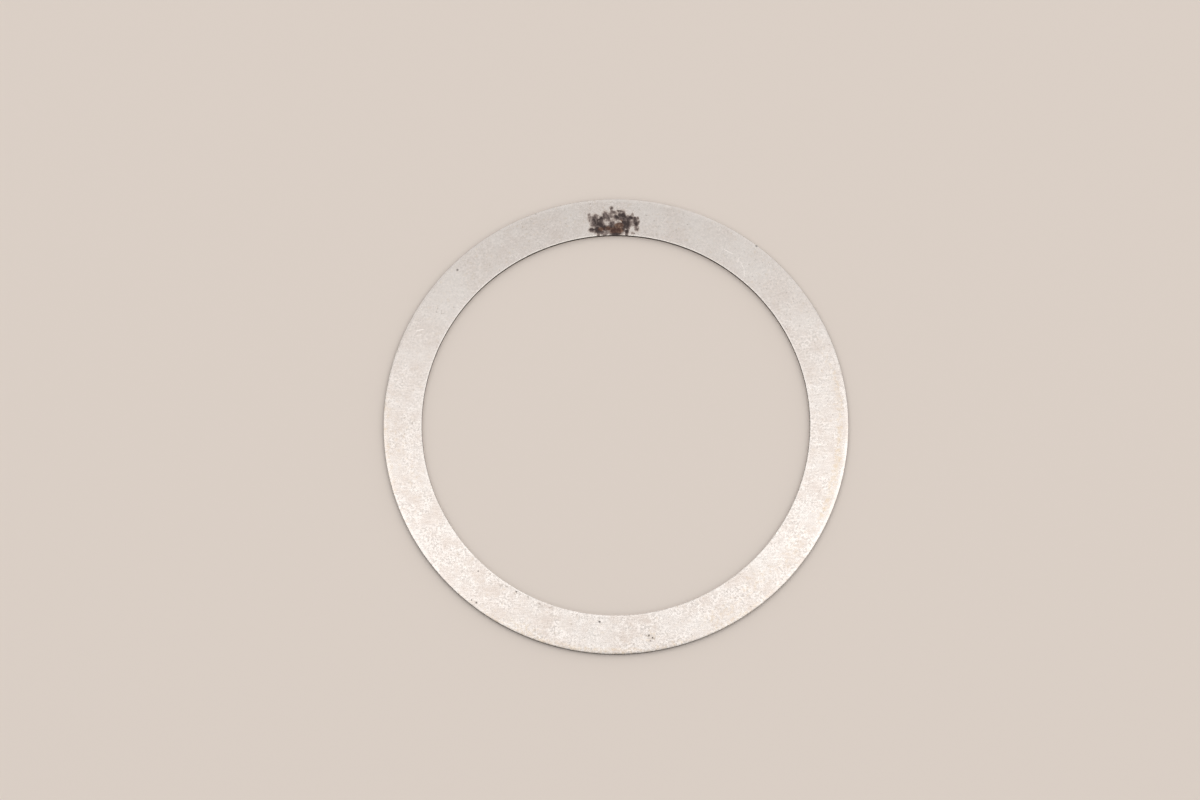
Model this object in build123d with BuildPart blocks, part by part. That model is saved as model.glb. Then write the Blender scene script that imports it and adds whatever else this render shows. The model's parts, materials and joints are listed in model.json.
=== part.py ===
from build123d import *

import os

# Shim ring: a thin flat ring that is slipped over a shaft, against a bearing or a shoulder, to take up
# its end play. It is one piece of cold-rolled steel strip. A progressive die pierces the bore from
# below and blanks the rim from above, so the two sheared walls are twins, turned upside down: each has
# the soft shoulder where the metal was drawn in, a band cut parallel to the axis, a torn stretch that
# leans back, and an edge where the punch broke through, which tumbling has eased.
#
# Millimetres. +Z is the ring's axis, and the origin is the centre of the lower face, which it lies on.

# What the ring is ordered by.
bore_diameter = 50.0  # nominal, for a shaft that is turned a little smaller
face_width = 4.95  # from the bore's wall to the rim's wall, so that the rim slips into a housing of 60
thickness = 0.5

# What the die leaves on each sheared wall, in the order that the punch makes it.
roll_width = 0.45  # how far in from the wall the face starts to roll over
roll_drop = 0.03  # how far it has sunk where it meets the wall
roll_radius = 0.04  # the turn from the roll into the wall
land_height = 0.15  # the band that was cut cleanly, parallel to the axis
fracture_lean = 0.015  # how far the torn stretch beyond it draws back into the metal

# What the tumbler leaves of the burr at the other face: a bevel that is hardly there, and a small radius.
ease_width = 0.14  # how far in from the wall the stones wore the face down
ease_drop = 0.01  # how much they took off it at the wall
ease_radius = 0.025  # the turn from there into the wall

bore_radius = bore_diameter / 2
rim_radius = bore_radius + face_width
rim_burr = (rim_radius - fracture_lean, ease_drop)
bore_burr = (bore_radius + fracture_lean, thickness - ease_drop)

with BuildPart() as shim_ring:
    with BuildSketch(Plane.XZ) as section:
        with BuildLine():
            rim_roll = TangentArc(
                (rim_radius - roll_width, thickness), (rim_radius, thickness - roll_drop), tangent=(1, 0)
            )
            bore_roll = TangentArc((bore_radius + roll_width, 0), (bore_radius, roll_drop), tangent=(-1, 0))
            # The rim's wall from the top down, and the lower face inwards.
            Polyline(
                rim_roll @ 1,
                (rim_radius, thickness - roll_drop - land_height),
                rim_burr,
                (rim_burr[0] - ease_width, 0),
                bore_roll @ 0,
            )
            # The bore's wall from the bottom up, and the upper face outwards.
            Polyline(
                bore_roll @ 1,
                (bore_radius, roll_drop + land_height),
                bore_burr,
                (bore_burr[0] + ease_width, thickness),
                rim_roll @ 0,
            )
        make_face()
        corners = section.vertices()
        fillet([corners.sort_by_distance(roll @ 1)[0] for roll in (rim_roll, bore_roll)], roll_radius)
        corners = section.vertices()
        fillet([corners.sort_by_distance(burr)[0] for burr in (rim_burr, bore_burr)], ease_radius)
    revolve(axis=Axis.Z)

shim_ring.part.label = "shim_ring"

os.makedirs("parts", exist_ok=True)
export_step(shim_ring.part, "parts/shim_ring.step")
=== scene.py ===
# %% [markdown]
# # A shim ring
#
# A shim ring is about the plainest thing a press makes: a flat ring, punched out of steel strip, that is
# slipped over a shaft to take up play. So all of its looks are in its surface: the sheared edges, the
# bloom that tumbling leaves on the faces, some freckles of rust and one old stain.
#
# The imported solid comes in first. It is the ring's true size and place. The ring that is built here is a
# mesh of its own, which takes the solid's place in the picture and keeps to its measures. Blender counts in
# metres and a press shop in millimetres, so all lengths stay in millimetres until they go into a mesh.

# %% The frame
import json
import math
import bpy
import numpy as np
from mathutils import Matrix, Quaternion, Vector
from mathutils import noise as hills


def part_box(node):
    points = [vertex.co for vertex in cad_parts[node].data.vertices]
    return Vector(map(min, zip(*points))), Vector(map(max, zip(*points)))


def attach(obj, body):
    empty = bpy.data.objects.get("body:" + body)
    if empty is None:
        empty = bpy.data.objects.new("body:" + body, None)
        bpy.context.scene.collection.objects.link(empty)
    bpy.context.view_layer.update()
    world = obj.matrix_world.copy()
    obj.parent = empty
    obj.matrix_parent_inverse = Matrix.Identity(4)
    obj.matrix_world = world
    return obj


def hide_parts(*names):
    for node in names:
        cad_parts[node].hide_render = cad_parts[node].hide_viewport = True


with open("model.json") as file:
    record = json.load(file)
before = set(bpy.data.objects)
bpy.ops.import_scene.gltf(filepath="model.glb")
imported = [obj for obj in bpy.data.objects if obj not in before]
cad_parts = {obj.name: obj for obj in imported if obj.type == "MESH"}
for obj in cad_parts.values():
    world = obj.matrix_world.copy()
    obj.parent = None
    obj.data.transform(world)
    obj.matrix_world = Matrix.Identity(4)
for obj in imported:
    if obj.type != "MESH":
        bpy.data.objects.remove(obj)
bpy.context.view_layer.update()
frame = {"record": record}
MM = 0.001

# %% [markdown]
# ## The ring's sizes
#
# The bore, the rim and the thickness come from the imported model, so the visible ring can't drift away
# from it. The rest are the marks that the die leaves on a sheared wall: a shoulder where the strip was
# drawn in, a band that was cut clean, a torn stretch that leans back, and a burr that tumbling rounded off.

# %% Sizes
mounts = {m["name"]: m for m in frame["record"]["mounts"]}
bore_radius = mounts["shaft_bore"]["dims"]["r_mm"]
rim_radius = mounts["housing_rim"]["dims"]["r_mm"]
low_corner, high_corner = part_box("shim_ring")
thickness = (high_corner.z - low_corner.z) / MM
middle_radius = (bore_radius + rim_radius) / 2

roll_width = 0.45
roll_drop = 0.03
roll_radius = 0.04
land_height = 0.15
fracture_lean = 0.015
ease_width = 0.14
ease_drop = 0.010
ease_radius = 0.025
print(f"ring {2 * bore_radius:.2f} x {2 * rim_radius:.2f} x {thickness:.2f} mm")

# %% [markdown]
# ## The section of one wall
#
# A wall could be drawn as one upright line, and from above nobody would know. But the light along the
# ring's edge comes from the shoulder that the die rolled over, and the dark line under it from the wall, so
# the wall is drawn as the press makes it. The pen walks from the upper face down to the lower one, in
# points (r, z), and each point knows what part of the wall it is on.

# %% Arcs and straight stretches


def arc(centre, radius, start, end, steps):
    """Points on an arc, in degrees, the first one left out because the stretch before it ends there."""
    angles = np.radians(np.linspace(start, end, steps + 1)[1:])
    return [(centre[0] + radius * math.cos(a), centre[1] + radius * math.sin(a)) for a in angles]


def line(start, end, steps):
    """Points on a straight stretch, the first one left out."""
    return [tuple(np.array(start) + (np.array(end) - start) * k / steps) for k in range(1, steps + 1)]


print(f"a quarter turn in 3 steps has {len(arc((0, 0), 1, 0, 90, 3))} new points")

# %% A rounded edge
roll_steps = 6
turn_steps = 5


def soft_corner(edge, face, width, drop, radius, side):
    """Points (r, z) from a flat face over a shallow roll, then round a small turn into the wall.

    edge is the wall's radius, face the height of the flat face, and side is 1 for the upper face or -1
    for the lower one. The roll reaches width inwards and sinks by drop.
    """
    bend = (width**2 + drop**2) / (2 * drop)
    centre = (edge - width, face - side * bend)
    rise = math.sqrt((bend - radius) ** 2 - (width - radius) ** 2)
    meet = math.degrees(math.atan2(rise, width - radius))
    roll = [(centre[0], face)] + arc(centre, bend, 90 * side, meet * side, roll_steps)
    turn = arc((edge - radius, centre[1] + side * rise), radius, meet * side, 0, turn_steps)
    return roll, turn


shoulder, shoulder_turn = soft_corner(rim_radius, thickness, roll_width, roll_drop, roll_radius, 1)
burr_radius = rim_radius - fracture_lean
ease, burr = soft_corner(burr_radius, 0.0, ease_width, ease_drop, ease_radius, -1)
print(f"the shoulder sinks to {shoulder[-1][1]:.3f} mm before it turns into the wall")

# %% One sheared wall
land_steps = 2
torn_steps = 4
land_end = (rim_radius, thickness - roll_drop - land_height)
stretches = [
    ("roll", shoulder),
    ("turn", shoulder_turn),
    ("land", line(shoulder_turn[-1], land_end, land_steps)),
    ("torn", line(land_end, burr[-1], torn_steps)),
    ("burr", burr[-2::-1]),
    ("ease", ease[::-1]),
]
wall = [(r, z, name) for name, stretch in stretches for r, z in stretch]
print(f"{len(wall)} points down one wall, from its {wall[0][2]} to its {wall[-1][2]}")

# %% [markdown]
# ## The whole section
#
# Both walls come off a punch in the same way, one upside down to the other. So the bore's wall is the
# rim's, turned half a turn about the middle of the section. Between them lie the two flat faces. The
# upper one gets a point every 0.14 mm, so that the stain can be a real crust on it, and the lower one far
# fewer. Next to each rounded edge one point sits close by, which keeps smooth shading from bending the
# flat face.

# %% The closed section
face_step = 0.14
under_step = 0.45
guard = 0.02


def face_points(start, end, step, z, name):
    """Points along a flat face between two rounded edges, neither end included."""
    way = 1 if end > start else -1
    inner, outer = start + way * guard, end - way * guard
    count = round(abs(outer - inner) / step)
    return [(float(r), z, name) for r in np.linspace(inner, outer, count + 1)]


bore_wall = [(2 * middle_radius - r, thickness - z, name) for r, z, name in wall]
upper_face = face_points(bore_wall[-1][0], wall[0][0], face_step, thickness, "upper face")
lower_face = face_points(wall[-1][0], bore_wall[0][0], under_step, 0.0, "lower face")
section = upper_face + wall + lower_face + bore_wall
print(f"{len(section)} points in the closed section")

# %% [markdown]
# ## The stain
#
# At the far side of the ring a drop of water stood against the bore and rusted: a crust of dark scale
# with brown rust in its middle, ragged at its rim, and with some bare metal left inside. A noise alone
# would give a stain, but not this one. So its outline is put together as one dabs paint: patches of
# scale, then dabs that take some away again, then dabs that turn the scale brown. They are placed
# across from the stain's middle and outward from the bore's edge.
#
# Scale isn't equally thick everywhere, so each patch says how thick it may get: at 1 it is black and hides
# the steel, at 0 it is a grey veil, and under that a few crumbs.

# %% Patches of scale
# (across, outward, half width, half height, thickness), the first four in millimetres
SCALE_PATCHES = [
    # the left body: its column, its mass, the low lump beside it, and two feet
    (-2.75, 2.30, 0.36, 0.55, 0.60),
    (-2.70, 1.70, 0.50, 0.46, 0.80),
    (-2.10, 1.60, 0.64, 0.50, 0.90),
    (-1.88, 2.20, 0.28, 0.42, 0.50),
    (-2.25, 2.05, 0.45, 0.30, 0.50),
    (-3.08, 0.95, 0.38, 0.27, 0.60),
    (-2.50, 1.05, 0.44, 0.34, 0.70),
    (-2.20, 0.68, 0.50, 0.32, 0.60),
    (-1.65, 1.12, 0.52, 0.40, 0.80),
    (-2.28, 0.25, 0.16, 0.30, 0.10),
    (-1.75, 0.45, 0.28, 0.24, 0.30),
    # the column beside it, and the spike on its stem
    (-1.38, 2.75, 0.33, 0.48, 0.40),
    (-0.90, 2.25, 0.26, 0.26, 0.20),
    (-1.02, 2.62, 0.22, 0.28, 0.40),
    (-0.55, 3.75, 0.22, 0.17, 0.30),
    (-0.56, 3.40, 0.12, 0.25, -0.15),
    (-0.30, 3.12, 0.40, 0.16, 0.30),
    (-0.65, 2.90, 0.14, 0.22, 0.00),
    # the crown
    (0.10, 2.45, 0.38, 0.36, 0.90),
    (0.60, 2.74, 0.32, 0.36, 0.70),
    (0.55, 3.32, 0.42, 0.13, 0.20),
    (0.98, 2.95, 0.26, 0.40, 0.50),
    (0.58, 2.32, 0.36, 0.24, 0.30),
    (1.10, 2.45, 0.38, 0.40, 0.70),
    # the right body and its foot
    (1.60, 2.20, 0.42, 0.46, 0.90),
    (1.20, 1.80, 0.44, 0.48, 0.90),
    (1.60, 1.60, 0.36, 0.46, 0.80),
    (1.32, 1.20, 0.44, 0.42, 0.60),
    (1.45, 0.62, 0.26, 0.40, 0.50),
    (1.42, 0.22, 0.18, 0.24, 0.10),
    # the arm, and the hook that hangs from it
    (1.95, 2.45, 0.42, 0.26, 0.90),
    (2.40, 2.42, 0.36, 0.20, 0.60),
    (2.78, 2.48, 0.22, 0.14, 0.00),
    (2.55, 2.05, 0.24, 0.26, 0.30),
    (2.68, 1.68, 0.26, 0.30, 0.80),
    (2.98, 1.90, 0.16, 0.22, 0.20),
    (2.75, 1.05, 0.24, 0.32, 0.20),
    # the floor of the stain, and the tongue that stands up from it
    (-0.95, 1.02, 0.44, 0.30, 0.60),
    (-0.45, 1.64, 0.26, 0.26, 0.30),
    (-1.18, 0.80, 0.42, 0.16, 0.25),
    (-0.45, 1.25, 0.50, 0.36, 0.60),
    (-0.24, 0.70, 0.62, 0.46, 0.90),
    (0.38, 0.72, 0.60, 0.48, 0.90),
    (0.50, 1.35, 0.56, 0.40, 0.35),
    (0.95, 0.80, 0.40, 0.34, 0.70),
    (0.05, 0.22, 0.62, 0.26, 0.60),
]
print(f"{len(SCALE_PATCHES)} patches of scale")

# %% Thin scale
# where the crust is so thin that most of the steel shows through it
THIN_PATCHES = [
    (-3.50, 2.95, 0.14, 0.20, -0.22),
    (-3.35, 2.45, 0.26, 0.30, -0.22),
    (-2.70, 2.72, 0.36, 0.22, -0.10),
    (-1.40, 3.05, 0.22, 0.18, -0.22),
    (-1.30, 2.20, 0.32, 0.20, -0.22),
    (-1.10, 0.60, 0.42, 0.26, -0.15),
    (-1.45, 0.32, 0.35, 0.20, -0.22),
    (-0.30, 2.05, 0.28, 0.20, -0.22),
    (-0.58, 2.62, 0.20, 0.22, -0.10),
    (2.22, 1.68, 0.40, 0.26, -0.22),
    (2.25, 0.40, 0.20, 0.14, -0.22),
    (2.20, 2.95, 0.12, 0.18, -0.22),
]
print(f"{len(THIN_PATCHES)} thin patches")

# %% Bare and brown dabs
# (across, outward, half width, half height), in millimetres
BARE_DABS = [
    (-1.20, 1.82, 0.34, 0.36),
    (0.05, 1.82, 0.28, 0.22),
    (-0.35, 2.82, 0.16, 0.18),
    (-0.56, 2.22, 0.15, 0.20),
    (2.22, 1.05, 0.34, 0.38),
    (1.12, 0.32, 0.17, 0.18),
    (-1.28, 0.34, 0.32, 0.15),
    (-2.22, 2.60, 0.10, 0.24),
    (-2.84, 1.16, 0.12, 0.08),
    (0.77, 3.05, 0.12, 0.09),
    (0.70, 1.88, 0.12, 0.14),
    (1.33, 0.88, 0.12, 0.08),
    (2.90, 1.25, 0.10, 0.12),
]
BROWN_DABS = [
    (0.45, 1.30, 0.65, 0.42),
    (-0.24, 0.70, 0.70, 0.46),
    (0.50, 0.65, 0.55, 0.42),
    (-1.05, 0.95, 0.50, 0.30),
    (-1.90, 0.90, 0.50, 0.30),
    (0.70, 1.90, 0.22, 0.30),
]
print(f"{len(BARE_DABS)} dabs of bare steel and {len(BROWN_DABS)} of brown rust")

# %% [markdown]
# A patch is an ellipse, and an ellipse looks like one. Before a spot is looked up in the patches it is
# jogged aside by a small noise, which frays every outline by up to 0.08 mm. Left to itself, this noise
# starts from another random place at each run, so its seed is set. The finish frays the outlines once
# more, finer than the mesh can.

# %% How deep the scale is
fray = 0.08
frays_per_mm = 5
fray_layer = 1.7
fray_seed = 1
steepness = 1.5
bare_depth = -2.0
hills.seed_set(fray_seed)


def covered(patches, across, outward):
    """How deep a spot lies in the patches: up to a patch's thickness or 1 inside, and under 0 outside."""
    depth = bare_depth
    for a, o, half_width, half_height, *thickest in patches:
        away = math.hypot((across - a) / half_width, (outward - o) / half_height)
        depth = max(depth, min(steepness * (1 - away), *thickest, 1.0))
    return depth


def stain_at(x, y):
    """(depth of scale, share of brown) at a spot of the upper face, in millimetres."""
    jog = hills.noise_vector((x * frays_per_mm, y * frays_per_mm, fray_layer)) * fray
    across, outward = x + jog.x, math.hypot(x, y) + jog.y - bore_radius
    scale = min(covered(SCALE_PATCHES, across, outward), -covered(BARE_DABS, across, outward))
    return max(scale, covered(THIN_PATCHES, across, outward)), covered(BROWN_DABS, across, outward)


depth, brown = stain_at(0.0, bore_radius + 0.5)
print(f"half a millimetre out from the bore: scale {depth:.2f}, brown {brown:.2f}")

# %% [markdown]
# ## Freckles and dirt
#
# Where a film of water dried, the steel is freckled with first rust. It is strongest in a row along the
# rim, at the right, and fainter in some patches of the near half. The same tan is also laid thinly along
# the rim's edge, most at the near side and some at the left. A little dirt sits in a broken line along the
# bore and in one smudge. All of it follows the ring round, so the dabs are long and bent: they are placed
# by a turn, counted from +X, and outward from the bore.

# %% Freckled and dirty places
# (turn in degrees, outward, half length, half width, strength), the lengths in millimetres
TAN_DABS = [
    # the row along the rim, at the right
    (350, 3.90, 6.5, 0.50, 1.0),
    (338, 3.95, 3.0, 0.40, 1.0),
    (6, 3.95, 4.5, 0.40, 0.8),
    (16, 3.60, 3.5, 0.60, 0.3),
    # the near side, from right to left
    (322, 3.10, 3.5, 1.10, 0.5),
    (311, 2.30, 3.0, 1.20, 0.4),
    (298, 3.10, 3.5, 1.00, 0.5),
    (279, 3.10, 1.0, 0.70, 0.6),
    (246, 4.00, 2.5, 0.60, 0.6),
    # the left
    (196, 2.00, 2.5, 1.20, 0.3),
    (186, 3.00, 2.5, 1.30, 0.3),
    # the veil on the rim's edge
    (262, 4.75, 14.0, 0.55, 0.85),
    (300, 4.75, 5.0, 0.50, 0.7),
    (185, 4.70, 7.0, 0.55, 0.6),
]
DIRT_DABS = [
    (238, 0.50, 2.6, 0.30, 0.5),
    (248, 0.42, 2.0, 0.25, 0.6),
    (279, 3.10, 0.6, 0.40, 0.7),
]
dab_fade = 1.5


def dabbed(dabs, turn, r):
    """How strong the dabs are at a spot: full in the inner half of one, and gone at one and a half."""
    share = 0.0
    for degrees, outward, half_length, half_width, strength in dabs:
        around = (math.degrees(turn) - degrees + 180) % 360 - 180
        away = math.hypot(math.radians(around) * r / half_length, (r - bore_radius - outward) / half_width)
        share = max(share, strength * min(1.0, dab_fade - away))
    return share


print(f"freckles near the rim at the right: {dabbed(TAN_DABS, 0.0, rim_radius - 1):.2f}")

# %% [markdown]
# ## Stations round the ring
#
# A turned solid would do for a new ring. This one has to carry its own wear, so its section is set down at
# station after station round the axis and changed a little at each. The stations are 0.2 mm apart, and
# 0.07 mm where the stain is.

# %% Stations
station_step = 0.2
stain_step = 0.07
stain_reach = 4.2
stain_turn = stain_reach / middle_radius
start_turn = math.pi / 2 - stain_turn
fine = np.linspace(0, 2 * stain_turn, round(2 * stain_reach / stain_step), endpoint=False)
coarse_count = round((2 * math.pi - 2 * stain_turn) * middle_radius / station_step)
coarse = np.linspace(2 * stain_turn, 2 * math.pi, coarse_count, endpoint=False)
stations = start_turn + np.concatenate([fine, coarse])
print(f"{len(stations)} stations, {2 * len(stations) * len(section)} triangles")

# %% [markdown]
# ## Wear along the edges
# ## Wear and a painted highlight along the edges
#
# In the tumbler the stones reach the edges more often than the middle of a face, so a narrow band along
# each edge is burnished, and the same band is brightened further as a painted highlight of the light that
# the rounded edges catch. At the bore it is even. At the rim it is fainter, brightest at the far side and
# faintest at the near side, as a painted highlight that follows the light.

# %% How burnished and highlighted a spot is
bore_shine_reach = 0.25
rim_shine_reach = 0.52
shine_fade = 0.25
rim_highlight = 0.28
rim_highlight_swing = 0.24
highlight_turn = math.radians(80)


def burnish_and_highlight(r, turn):
    """How far a spot is brightened by the stones' burnish and a painted highlight: up to 1 near an edge, 0
    further in.
    """
    if r < middle_radius:
        return min(1.0, max(0.0, (bore_shine_reach - (r - bore_radius)) / shine_fade))
    near_rim = min(1.0, max(0.0, (rim_shine_reach - (rim_radius - r)) / shine_fade))
    # painted highlight: the rim's band is brightest at the far side, towards the light, and faintest at the
    # near side
    return near_rim * (rim_highlight + rim_highlight_swing * math.cos(turn - highlight_turn))


print(f"burnish at the bore {burnish_and_highlight(bore_radius, 0.0):.2f}, at the rim {burnish_and_highlight(rim_radius, 0.0):.2f}")

# %% [markdown]
# A press and a tumbler leave nothing perfectly even. The shoulder is deeper here than there, the torn
# stretch is rough, and the eased edges have small dents. Two noises do that, a slow one that wanders round
# the ring and a quick one for grit. They only ever take metal away, two hundredths of a millimetre at most.

# %% The uneven edges
edge_wander = {"roll": 0.010, "turn": 0.010, "land": 0.003, "torn": 0.010, "burr": 0.008, "ease": 0.005}
edge_grit = {"roll": 0.0, "turn": 0.003, "land": 0.0, "torn": 0.010, "burr": 0.006, "ease": 0.0}
wanders_per_mm = 0.35
wander_layer = 3.0
grits_per_mm = 4.0
grits_per_mm_down = 6.0


def worn(r, z, name, turn):
    """A point of the section at one station, moved by the press's and the tumbler's unevenness."""
    x, y = r * math.cos(turn), r * math.sin(turn)
    if name.endswith("face"):
        return x, y, z
    slow = hills.noise((x * wanders_per_mm, y * wanders_per_mm, wander_layer + z))
    quick = hills.noise((x * grits_per_mm, y * grits_per_mm, z * grits_per_mm_down))
    inward = edge_wander[name] * (slow + 1) / 2 + edge_grit[name] * (quick + 1) / 2
    r += inward if r < middle_radius else -inward
    return r * math.cos(turn), r * math.sin(turn), z


print(f"at most {max(edge_wander[name] + edge_grit[name] for name in edge_wander):.3f} mm of unevenness")

# %% [markdown]
# ## Carrying the section round
#
# Now every point of the section is set down at every station. Under the stain the face also rises, by up
# to 0.03 mm, in lumps, because rust takes more room than the steel it came from. Beside its place each
# point notes what lies on it, and the finish reads those notes later.

# %% Points and what lies on them
crust_height = 0.03
crust_rise = 3
lumps_per_mm = 6
points = []
notes = {"scale_depth": [], "brown_share": [], "edge_burnish_and_highlight": [], "tan_share": [], "dirt_share": []}
for turn in stations:
    near_stain = abs(turn - math.pi / 2) < stain_turn
    for r, z, name in section:
        on_top = z > thickness / 2
        x, y, height = worn(r, z, name, turn)
        depth, brown = stain_at(x, y) if near_stain and on_top else (bare_depth, bare_depth)
        if depth > 0 and name == "upper face":
            lumps = 0.5 + 0.5 * hills.noise((x * lumps_per_mm, y * lumps_per_mm, 0.0))
            height += crust_height * min(1.0, crust_rise * depth) * lumps
        points.append((x * MM, y * MM, height * MM))
        notes["scale_depth"].append(depth)
        notes["brown_share"].append(brown)
        notes["edge_burnish_and_highlight"].append(burnish_and_highlight(r, turn))
        notes["tan_share"].append(dabbed(TAN_DABS, turn, r) if on_top else 0.0)
        notes["dirt_share"].append(dabbed(DIRT_DABS, turn, r) if on_top else 0.0)
heights = [p[2] / MM for p in points]
print(f"{len(points)} points, the lowest at {min(heights):.3f} mm, the highest at {max(heights):.3f} mm")

# %% [markdown]
# ## The mesh
#
# Neighbouring stations are joined into quads, all round and back to the first, so the skin is closed.

# %% Joining the stations
around, across_count = len(stations), len(section)
quads = []
for i in range(around):
    for j in range(across_count):
        a, b = i * across_count + j, i * across_count + (j + 1) % across_count
        c, d = (b + across_count) % len(points), (a + across_count) % len(points)
        quads.append((a, d, c, b))

mesh = bpy.data.meshes.new("shim_ring_worn")
mesh.from_pydata(points, [], quads)
for name, values in notes.items():
    mesh.attributes.new(name, "FLOAT", "POINT").data.foreach_set("value", values)
print(f"{len(quads)} quads")

# %% [markdown]
# The walls get a finish of their own, because a sheared wall looks nothing like the strip's face. At the
# near side the walls' dark finish is also laid over the small turn of the shoulder, as painted shade that
# makes the ring's dark outline heavier there. It climbs up to five rows of quads, one after the other, by
# the cosine of the turn from where the painted shade is deepest.

# %% Which quads are dark: the walls, and painted shade on the near turn
painted_shade_rows = 5
shadiest_turn = math.radians(250)
shade_start = 0.62
shade_fade = 0.25
first_land = next(j for j in range(across_count) if section[j][2] == "land")


def walls_finish_or_painted_shade(j, turn):
    """Whether the quad after the section's point j has the walls' finish, at one station: on the wall, or
    as painted shade on the shoulder's turn.
    """
    if section[j][2] in ("land", "torn"):
        return True
    # painted shade: the walls' dark finish reaches over the shoulder's turn, most at the near side
    shade_rows = painted_shade_rows * (math.cos(turn - shadiest_turn) - shade_start) / shade_fade
    return 0 <= first_land - 1 - j < min(shade_rows, painted_shade_rows)


finishes = [int(walls_finish_or_painted_shade(j, turn)) for turn in stations for j in range(across_count)]
mesh.polygons.foreach_set("material_index", finishes)
mesh.shade_smooth()
mesh.update()
print(f"{sum(finishes)} quads are in the walls' finish")

# %% [markdown]
# ## The unrolled skin
#
# A finish can be painted onto a flat picture, and the better the ring fills that picture, the finer the
# painting. A ring lying in a square leaves most of it empty. So the skin is unrolled, like the label of a
# tin, and cut into four strips. A quad takes as much room across a strip as its step down the section is
# long, and no less than 0.1 mm, so that the thin rows at the edges are painted too.

# %% Four strips
strips = 4
least_room = 0.1
margin = 0.004
steps = [math.dist(section[j][:2], section[(j + 1) % across_count][:2]) for j in range(across_count)]
rows = np.concatenate([[0.0], np.cumsum(np.maximum(steps, least_room))])
rows = margin + (1 / strips - 2 * margin) * rows / rows[-1]
quarters = (np.append(stations, stations[0] + 2 * math.pi) - stations[0]) * strips / (2 * math.pi)

skin = mesh.uv_layers.new(name="OFBake")
corners = []
for i in range(around):
    strip = min(strips - 1, int(quarters[i]))
    begin, end = quarters[i] - strip, min(1.0, quarters[i + 1] - strip)
    for j in range(across_count):
        low, high = rows[j] + strip / strips, rows[j + 1] + strip / strips
        corners += [(begin, low), (end, low), (end, high), (begin, high)]
skin.uv.foreach_set("vector", np.array(corners, dtype=np.float32).ravel())
print(f"{strips} strips, rows from {rows[0]:.3f} to {rows[-1]:.3f} in the first")

# %% The ring as an object
ring = bpy.data.objects.new("shim_ring_worn", mesh)
bpy.context.scene.collection.objects.link(ring)
print(f"{ring.name}: {len(mesh.polygons)} faces on {len(mesh.vertices)} points")

# %% [markdown]
# ## Tools for the finishes
#
# A colour is written the way a paint chart writes it, and one function turns it to the linear light that
# the shader counts in. One more adds a node with its settings and its links. Most of a finish is coats,
# one laid over the other where some pattern is strong, so that gets a function too.

# %% Colours and nodes


def colour(code):
    """A linear colour with alpha from an sRGB hex value."""
    shares = [int(code[i : i + 2], 16) / 255 for i in (1, 3, 5)]
    return [s / 12.92 if s <= 0.04045 else ((s + 0.055) / 1.055) ** 2.4 for s in shares] + [1.0]


def add(tree, kind, values=None, **settings):
    """A new node. values are its inputs by name or number: plain values, or sockets to link from."""
    made = tree.nodes.new("ShaderNode" + kind)
    for key, value in settings.items():
        setattr(made, key, value)
    for key, value in (values or {}).items():
        if isinstance(value, bpy.types.NodeSocket):
            tree.links.new(value, made.inputs[key])
        else:
            made.inputs[key].default_value = value
    return made


print("mid grey in linear light:", [round(share, 3) for share in colour("#808080")])

# %% A new finish, and a coat on it


def new_finish(name):
    """An empty material, its node tree, and the socket that gives a spot's place in millimetres."""
    finish = bpy.data.materials.new(name)
    finish.use_nodes = True
    tree = finish.node_tree
    tree.nodes.clear()
    spot = add(tree, "TexCoord").outputs["Object"]
    place = add(tree, "VectorMath", {0: spot, "Scale": 1 / MM}, operation="SCALE").outputs[0]
    return finish, tree, place


def coat(tree, under, over, pattern, start, full, most=1.0):
    """A colour laid over another by a pattern: not at all up to start, as much as most from full on."""
    share = add(tree, "MapRange", {"Value": pattern, "From Min": start, "From Max": full, "To Max": most})
    return add(tree, "Mix", {0: share.outputs[0], 6: under, 7: over}, data_type="RGBA").outputs[2]


face_finish, tree, place = new_finish("tumbled_cold_rolled_steel")
print("started", face_finish.name)

# %% [markdown]
# ## Tumbled cold-rolled steel
#
# Cold-rolled strip comes bright from the mill, and a tumbler full of stones then takes the shine to a
# soft, even bloom: thousands of short scuffs that run every way. The eye sees a pale grey metal with a
# fine grain, a little cloudy, that lights up where a lamp stands over it. So there are three noises, for
# the grain, for mottling a few grains wide, and for slow clouds.
#
# On this ring the stones bit the near side deeper than the far side, so the grain and the mottling are
# calmed towards the far side.

# %% Grain
grain_size = 0.28
mottle_size = 1.6
cloud_size = 5.0
smooth_side = (-0.14, 0.99, 0.0)
rough_until = -12.0
smooth_from = 15.0
least_bite = 0.32

how_far = add(tree, "VectorMath", {0: place, 1: smooth_side}, operation="DOT_PRODUCT").outputs["Value"]
bitten = {"Value": how_far, "From Min": smooth_from, "From Max": rough_until, "To Min": least_bite}
bite = add(tree, "MapRange", bitten).outputs[0]


def calmed(pattern, middle):
    """A pattern drawn to its middle value where the stones bit less."""
    return add(tree, "Mix", {0: bite, 2: middle, 3: pattern}, data_type="FLOAT").outputs[0]


grain = add(tree, "TexNoise", {"Vector": place, "Scale": 1 / grain_size, "Detail": 2.0, "Roughness": 0.6})
grain = calmed(grain.outputs["Fac"], 0.5)
mottle = add(tree, "TexNoise", {"Vector": place, "Scale": 1 / mottle_size, "Detail": 3.0, "Roughness": 0.6})
mottle = calmed(mottle.outputs["Fac"], 0.5)
cloud = add(tree, "TexNoise", {"Vector": place, "Scale": 1 / cloud_size, "Detail": 3.0, "Roughness": 0.5})
cloud = cloud.outputs["Fac"]
print(f"grain of {grain_size} mm, mottling of {mottle_size} mm, clouds of {cloud_size} mm")

# %% [markdown]
# A scuff is a short stroke. A noise that is stretched one way and cut off at its crests gives strokes, and
# three of them, turned to three directions, give scuffs that run every way. Real ones are about 0.05 mm
# wide. They are drawn 0.15 mm wide here, so that they show at this distance.

# %% Scuffs
scuff_width = 0.15
scuff_length = 1.1
scuff_turns = (18, 77, 131)
usual_scuff = 0.1
stretch = (1 / scuff_length, 1 / scuff_width, 1)

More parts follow.
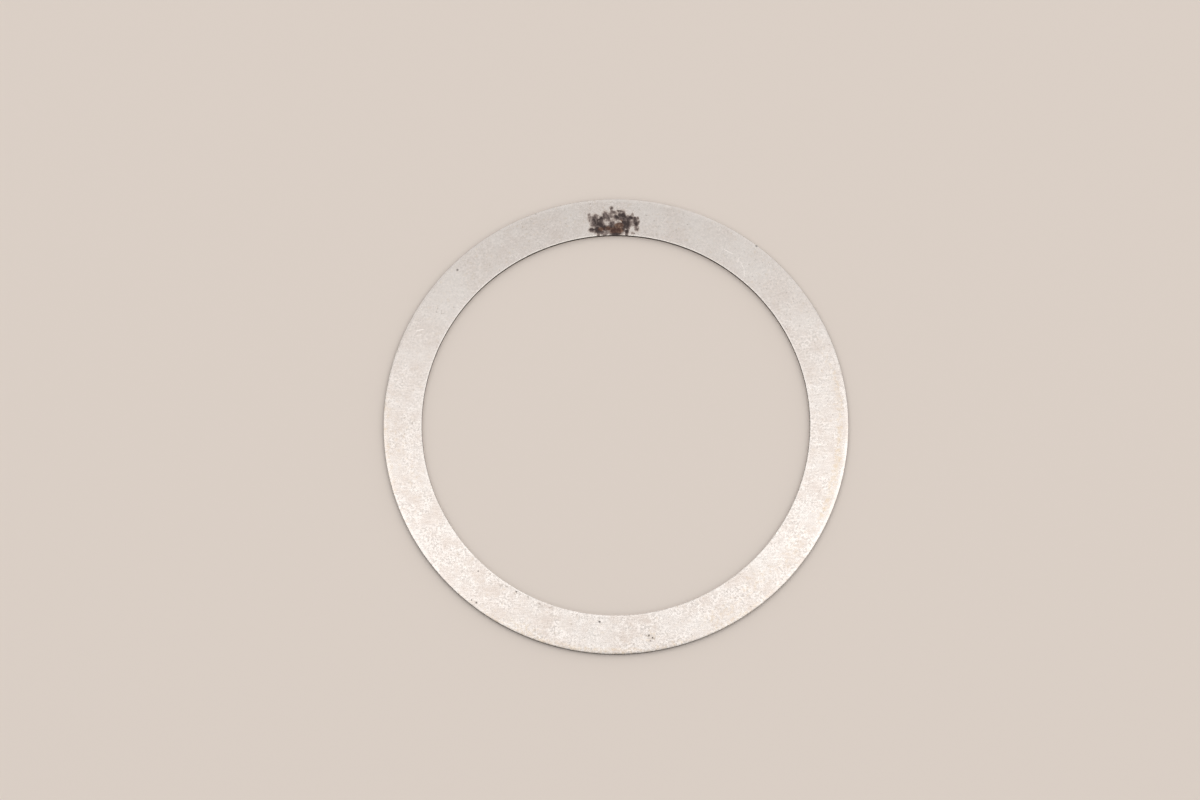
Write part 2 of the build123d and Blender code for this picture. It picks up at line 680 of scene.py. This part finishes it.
scuffs = 0.0
for degrees in scuff_turns:
    along = {"Vector": place, "Rotation": (0, 0, math.radians(degrees)), "Scale": stretch}
    laid = add(tree, "Mapping", along, vector_type="POINT").outputs[0]
    strokes = add(tree, "TexNoise", {"Vector": laid, "Scale": 1.0, "Detail": 1.0, "Roughness": 0.5})
    crests = add(tree, "MapRange", {"Value": strokes.outputs["Fac"], "From Min": 0.54, "From Max": 0.74})
    scuffs = add(tree, "Math", {0: scuffs, 1: crests.outputs[0]}, operation="MAXIMUM").outputs[0]
scuffs = calmed(scuffs, usual_scuff)
print(f"scuffs in {len(scuff_turns)} directions, {scuff_length} x {scuff_width} mm")

# %% [markdown]
# The grain darkens the metal by a few percent and lightens it again, the scuffs are a touch brighter,
# and slow clouds lean the colour from warm to cool, as a thin film of old oil does. The edges, which the
# stones strike most, are burnished, and so a little brighter than the face, and on top of that they carry
# a painted highlight.

# %% Colour of the bare face
steel_light = colour("#D9D1CB")
steel_dark = colour("#B7AFA9")
mottle_warm = colour("#C3B8B0")
cloud_pale = colour("#D0CAC5")
burnished = colour("#EDE6E0")

metal = coat(tree, steel_dark, steel_light, grain, start=0.40, full=0.57)
metal = coat(tree, metal, mottle_warm, mottle, start=0.42, full=0.64)
metal = coat(tree, metal, cloud_pale, cloud, start=0.44, full=0.62, most=0.45)
metal = coat(tree, metal, burnished, scuffs, start=0.0, full=1.0, most=0.25)
# the edge band: burnish, with a painted highlight laid on it
edge = add(tree, "Attribute", attribute_name="edge_burnish_and_highlight").outputs["Fac"]
metal = coat(tree, metal, burnished, edge, start=0.0, full=1.0, most=0.45)
print(f"{len(tree.nodes)} nodes so far")

# %% [markdown]
# Freckles are specks of first rust, so thin that they only tint the steel tan, and the dirt is in specks
# too. Each is a noise that shows only at its crests. Where the ring is freckled or dirty the noise is
# lifted, so more of its crests show.

# %% Freckles and specks of dirt
tan = colour("#C3AE93")
dirt = colour("#8A8078")
freckle_size = 0.5
freckle_lift = 0.19
speck_size = 0.35
speck_lift = 0.22

tan_share = add(tree, "Attribute", attribute_name="tan_share").outputs["Fac"]
settings = {"Vector": place, "Scale": 1 / freckle_size, "Detail": 4.0, "Roughness": 0.7}
freckles = add(tree, "TexNoise", settings).outputs["Fac"]
lifted = {0: tan_share, 1: freckle_lift, 2: freckles}
freckled = add(tree, "Math", lifted, operation="MULTIPLY_ADD").outputs[0]
metal = coat(tree, metal, tan, freckled, start=0.57, full=0.98)

dirt_share = add(tree, "Attribute", attribute_name="dirt_share").outputs["Fac"]
settings = {"Vector": place, "Scale": 1 / speck_size, "Detail": 2.0, "Roughness": 0.6}
specks = add(tree, "TexNoise", settings).outputs["Fac"]
lifted = {0: dirt_share, 1: speck_lift, 2: specks}
specked = add(tree, "Math", lifted, operation="MULTIPLY_ADD").outputs[0]
metal = coat(tree, metal, dirt, specked, start=0.64, full=0.84, most=0.8)
print(f"{len(tree.nodes)} nodes so far")

# %% [markdown]
# ## Pits and scratches
#
# A few pits are dark, because dirt sits in them, and a few short scratches are bright. They are placed one
# by one, where this ring has them. A spot is in a pit when it is near enough to the pit's middle, seen
# from above. It is on a scratch when its distances to the scratch's two ends add up to no more than the
# scratch is long.

# %% Where they are
# (x, y, radius), in millimetres
PITS = [
    (-2.06, -25.82, 0.15),
    (-17.69, -23.39, 0.13),
    (-18.30, -23.05, 0.10),
    (-12.62, -21.99, 0.12),
    (-20.68, 20.34, 0.14),
    (-17.50, -19.35, 0.10),
    (4.20, -27.60, 0.12),
    (4.65, -27.85, 0.11),
    (4.40, -28.25, 0.09),
    (18.42, 23.55, 0.16),
]
# (from x, from y, to x, to y, strength), the first four in millimetres
SCRATCHES = [
    (-26.00, 12.15, -24.90, 12.38, 1.0),
    (-25.90, 11.50, -25.10, 11.68, 0.6),
    (14.10, 23.10, 15.40, 22.40, 0.8),
    (16.10, 22.00, 15.90, 21.20, 0.6),
    (16.30, 21.40, 16.75, 20.40, 0.7),
    (16.75, 20.40, 16.80, 19.30, 0.6),
    (25.10, 4.95, 26.30, 4.55, 0.7),
]
print(f"{len(PITS)} pits and {len(SCRATCHES)} scratches")

# %% Pits
pit_dark = colour("#3A322D")
pit_brim = 1.3
pit_floor = 0.4
from_above = add(tree, "VectorMath", {0: place, 1: (1.0, 1.0, 0.0)}, operation="MULTIPLY").outputs[0]


def distance_to(x, y):
    """How far a spot is from (x, y), in millimetres, whatever its height."""
    return add(tree, "VectorMath", {0: from_above, 1: (x, y, 0.0)}, operation="DISTANCE").outputs["Value"]


pitted = 0.0
for x, y, radius in PITS:
    limits = {"Value": distance_to(x, y), "From Min": pit_brim * radius, "From Max": pit_floor * radius}
    pit = add(tree, "MapRange", limits).outputs[0]
    pitted = add(tree, "Math", {0: pitted, 1: pit}, operation="MAXIMUM").outputs[0]
print(f"pits from {2 * min(p[2] for p in PITS):.2f} to {2 * max(p[2] for p in PITS):.2f} mm wide")

# %% Scratches
scratch_width = 0.16
scratched = 0.0
for x0, y0, x1, y1, strength in SCRATCHES:
    both = add(tree, "Math", {0: distance_to(x0, y0), 1: distance_to(x1, y1)}, operation="ADD").outputs[0]
    length = math.hypot(x1 - x0, y1 - y0)
    beside = length + scratch_width**2 / length
    limits = {"Value": both, "From Min": beside, "From Max": length, "To Max": strength}
    scratch = add(tree, "MapRange", limits).outputs[0]
    scratched = add(tree, "Math", {0: scratched, 1: scratch}, operation="MAXIMUM").outputs[0]

metal = coat(tree, metal, burnished, scratched, start=0.0, full=1.0, most=0.6)
metal = coat(tree, metal, pit_dark, pitted, start=0.0, full=1.0, most=0.85)
print(f"{len(tree.nodes)} nodes so far")

# %% [markdown]
# ## Rust scale
#
# Scale is iron oxide in crumbs: nearly black where it is thick, grey where it is thin, and brown where it
# stayed wet longest. It isn't a metal and it is dull. The depth that the mesh brings along says where it
# is. Here that depth is made ragged twice, by a noise of crumbs that says how much steel they hide, and by
# a noise of blotches that says how dark they are. Around the crust the steel keeps a faint brown veil.

# %% Where the scale hides the steel
crumb_size = 0.38
blotch_size = 0.55
raggedness = 0.9
depth = add(tree, "Attribute", attribute_name="scale_depth").outputs["Fac"]
brown = add(tree, "Attribute", attribute_name="brown_share").outputs["Fac"]


def ragged(size, detail, roughness, twist):
    """The depth of the scale, made uneven by a noise whose lumps are about size across."""
    settings = {"Vector": place, "Scale": 1 / size, "Detail": detail, "Roughness": roughness}
    lumps = add(tree, "TexNoise", settings | {"Distortion": twist}).outputs["Fac"]
    limits = {"From Min": 0.25, "From Max": 0.75, "To Min": -raggedness, "To Max": raggedness}
    uneven = add(tree, "MapRange", {"Value": lumps} | limits).outputs[0]
    return add(tree, "Math", {0: depth, 1: uneven}, operation="ADD").outputs[0]


hiding = {"Value": ragged(crumb_size, 5.0, 0.75, 0.8), "From Min": -0.70, "From Max": 0.05}
covering = add(tree, "MapRange", hiding).outputs[0]
heaped = ragged(blotch_size, 4.0, 0.7, 0.6)
print(f"crumbs of {crumb_size} mm, blotches of {blotch_size} mm")

# %% Colour of the scale
scale_dark = colour("#3B2E2B")
scale_grey = colour("#80706A")
rust_dark = colour("#462B21")
rust_light = colour("#836552")
brown_veil = colour("#AC9B8E")

grey_part = coat(tree, scale_grey, scale_dark, heaped, start=-0.1, full=0.7)
brown_part = coat(tree, rust_light, rust_dark, heaped, start=-0.1, full=0.7)
crust = coat(tree, grey_part, brown_part, brown, start=-0.2, full=0.4)
metal = coat(tree, metal, brown_veil, depth, start=-1.3, full=-0.1, most=0.6)
shown = add(tree, "Mix", {0: covering, 6: metal, 7: crust}, data_type="RGBA").outputs[2]
print(f"{len(tree.nodes)} nodes so far")

# %% [markdown]
# ## The face's shader
#
# Bare steel is all metal, and its bloom spreads a reflection softly: a roughness of 0.2 to 0.3, more or
# less with the grain. Where scale covers it, the metal is gone and the roughness goes to that of dry rust.
# The grain stands up and the scuffs are cut in, by little over a thousandth of a millimetre, which is
# enough to make the reflection glitter.

# %% Shader of the face
polished = 0.20
matt = 0.32
rust_roughness = 0.8
relief_height = 0.0014

bare = add(tree, "Math", {0: 1.0, 1: covering}, operation="SUBTRACT").outputs[0]
bloom = add(tree, "MapRange", {"Value": grain, "To Min": polished, "To Max": matt}).outputs[0]
rough = add(tree, "Mix", {0: covering, 2: bloom, 3: rust_roughness}, data_type="FLOAT").outputs[0]
relief = add(tree, "Math", {0: grain, 1: scuffs}, operation="SUBTRACT").outputs[0]
bump = add(tree, "Bump", {"Height": relief, "Distance": relief_height * MM, "Strength": 1.0}).outputs[0]
looks = {"Base Color": shown, "Metallic": bare, "Roughness": rough, "Normal": bump}
shader = add(tree, "BsdfPrincipled", looks)
add(tree, "OutputMaterial", {"Surface": shader.outputs[0]})
mesh.materials.append(face_finish)
print(f"{face_finish.name}: {len(tree.nodes)} nodes")

# %% [markdown]
# ## The sheared wall
#
# Nobody cleans a sheared wall: it keeps the punch's oil and the dust that sticks to it, and so it is nearly
# black, dull, and hardly a metal to the eye. Under the oil it is steel, scored along the punch's travel,
# which a noise gives that is stretched up and down.

# %% Finish of the walls
wall_finish, tree, place = new_finish("sheared_steel_oily")
wall_dark = colour("#16100B")
wall_light = colour("#322920")
scores_per_mm = 7.0
scores_per_mm_down = 0.8
score_depth = 0.02

squeeze = (scores_per_mm, scores_per_mm, scores_per_mm_down)
drawn = add(tree, "Mapping", {"Vector": place, "Scale": squeeze}, vector_type="POINT").outputs[0]
scores = add(tree, "TexNoise", {"Vector": drawn, "Scale": 1.0, "Detail": 2.0}).outputs["Fac"]
oily = coat(tree, wall_dark, wall_light, scores, start=0.45, full=0.8)
bump = add(tree, "Bump", {"Height": scores, "Distance": score_depth * MM, "Strength": 1.0}).outputs[0]
looks = {"Base Color": oily, "Metallic": 0.2, "Roughness": 0.8, "Normal": bump}
shader = add(tree, "BsdfPrincipled", looks)
add(tree, "OutputMaterial", {"Surface": shader.outputs[0]})
mesh.materials.append(wall_finish)
print(f"{wall_finish.name}: {len(tree.nodes)} nodes")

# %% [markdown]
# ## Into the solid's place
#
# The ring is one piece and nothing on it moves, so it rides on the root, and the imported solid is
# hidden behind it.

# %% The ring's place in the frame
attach(ring, "root")
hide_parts("shim_ring")
print(f"{ring.name} stands for the solid shim_ring")

# %% [markdown]
# ## The floor
#
# The ring lies on a plain pale floor that is wide enough to reach past the view. It is matt, with no
# highlight of its own, so that only the ring's soft shadow shows on it.

# %% Floor
floor_half = 2.0
floor_corners = [(-floor_half, -floor_half, 0), (floor_half, -floor_half, 0)]
floor_corners += [(floor_half, floor_half, 0), (-floor_half, floor_half, 0)]
floor_mesh = bpy.data.meshes.new("floor")
floor_mesh.from_pydata(floor_corners, [], [(0, 1, 2, 3)])
floor = bpy.data.objects.new("floor", floor_mesh)
bpy.context.scene.collection.objects.link(floor)

floor_finish, tree, _ = new_finish("matt_pale_floor")
looks = {"Base Color": colour("#E6DAD0"), "Roughness": 0.9, "Specular IOR Level": 0.0}
shader = add(tree, "BsdfPrincipled", looks)
add(tree, "OutputMaterial", {"Surface": shader.outputs[0]})
floor_mesh.materials.append(floor_finish)
print(f"floor {2 * floor_half:.0f} m wide")

# %% [markdown]
# ## Light from all round
#
# A studio with pale walls lights a thing from every side, a little more from the side of its window. The
# world does that: white all round, and its strength leans towards one direction. With the lamps below,
# it is set so that the floor comes out a shade darker than its colour is written.

# %% World
bright_side = Vector((0.42, 0.78, 0.30)).normalized()
light_level = 0.617
light_lean = 0.45

world = bpy.data.worlds.new("studio")
bpy.context.scene.world = world
world.use_nodes = True
tree = world.node_tree
tree.nodes.clear()
way = add(tree, "TexCoord").outputs["Generated"]
toward = add(tree, "VectorMath", {0: way, 1: bright_side}, operation="DOT_PRODUCT").outputs["Value"]
leaning = add(tree, "Math", {0: toward, 1: light_lean, 2: light_level}, operation="MULTIPLY_ADD")
sky = add(tree, "Background", {"Color": (1.0, 1.0, 1.0, 1.0), "Strength": leaning.outputs[0]})
add(tree, "OutputWorld", {"Surface": sky.outputs[0]})
print(f"the world's strength goes from {light_level - light_lean:.2f} to {light_level + light_lean:.2f}")

# %% [markdown]
# ## Softboxes
#
# A flat ring is a mirror that lies down: it shows the camera one small part of what hangs above it, and it
# is as bright as that part. Two long softboxes hang 0.6 m up, over the part that the near side mirrors.
# The far side mirrors what lies past their edge, and so it is duller. Two faint ones beyond them, at the
# far left and all along, keep that change soft.

# %% Lamps
lamp_height = 0.6


def softbox(name, x, y, width, depth, brightness):
    """A flat lamp that faces down, as bright to look at as a lit white surface is times brightness."""
    lamp = bpy.data.lights.new(name, "AREA")
    lamp.shape = "RECTANGLE"
    lamp.size, lamp.size_y = width, depth
    lamp.energy = brightness * math.pi * width * depth
    box = bpy.data.objects.new(name, lamp)
    box.location = (x, y, lamp_height)
    bpy.context.scene.collection.objects.link(box)
    print(f"{name}: {width} x {depth} m, {lamp.energy:.2f} W")


softbox("overhead_left", -0.28, 0.0425, 0.5, 0.205, 1.275)
softbox("overhead_right", 0.33, 0.045, 0.6, 0.21, 1.285)
softbox("far_left", -0.40, 0.31, 0.36, 0.18, 0.4)
softbox("far_overhead", 0.1, 0.38, 1.2, 0.2, 0.15)

# %% [markdown]
# ## The camera
#
# The camera looks down on the ring from the near side, 12 degrees off straight down, so that the ring is
# seen nearly round and its walls as a fine dark line. It aims a little to the left of the axis and beyond
# it, from 0.32 m away with a 75 mm lens.

# %% Camera
lens_mm = 75.0
film_mm = 36.0
nearest = 0.01
aim = Vector((-2.03, 2.92, thickness)) * MM
distance = 322.7 * MM
tilt = math.radians(12.4)
heading = math.radians(92.55)
camera_roll = math.radians(-2.55)

back = Vector((-math.cos(heading) * math.sin(tilt), -math.sin(heading) * math.sin(tilt), math.cos(tilt)))
camera_data = bpy.data.cameras.new("camera")
camera_data.lens = lens_mm
camera_data.sensor_width = film_mm
camera_data.clip_start = nearest
camera = bpy.data.objects.new("camera", camera_data)
camera.location = aim + back * distance
camera.rotation_euler = (back.to_track_quat("Z", "Y") @ Quaternion((0, 0, 1), camera_roll)).to_euler()
bpy.context.scene.collection.objects.link(camera)
bpy.context.scene.camera = camera
bpy.context.scene.view_settings.view_transform = "Standard"
print("the camera stands at", [round(metres, 3) for metres in camera.location], "m")
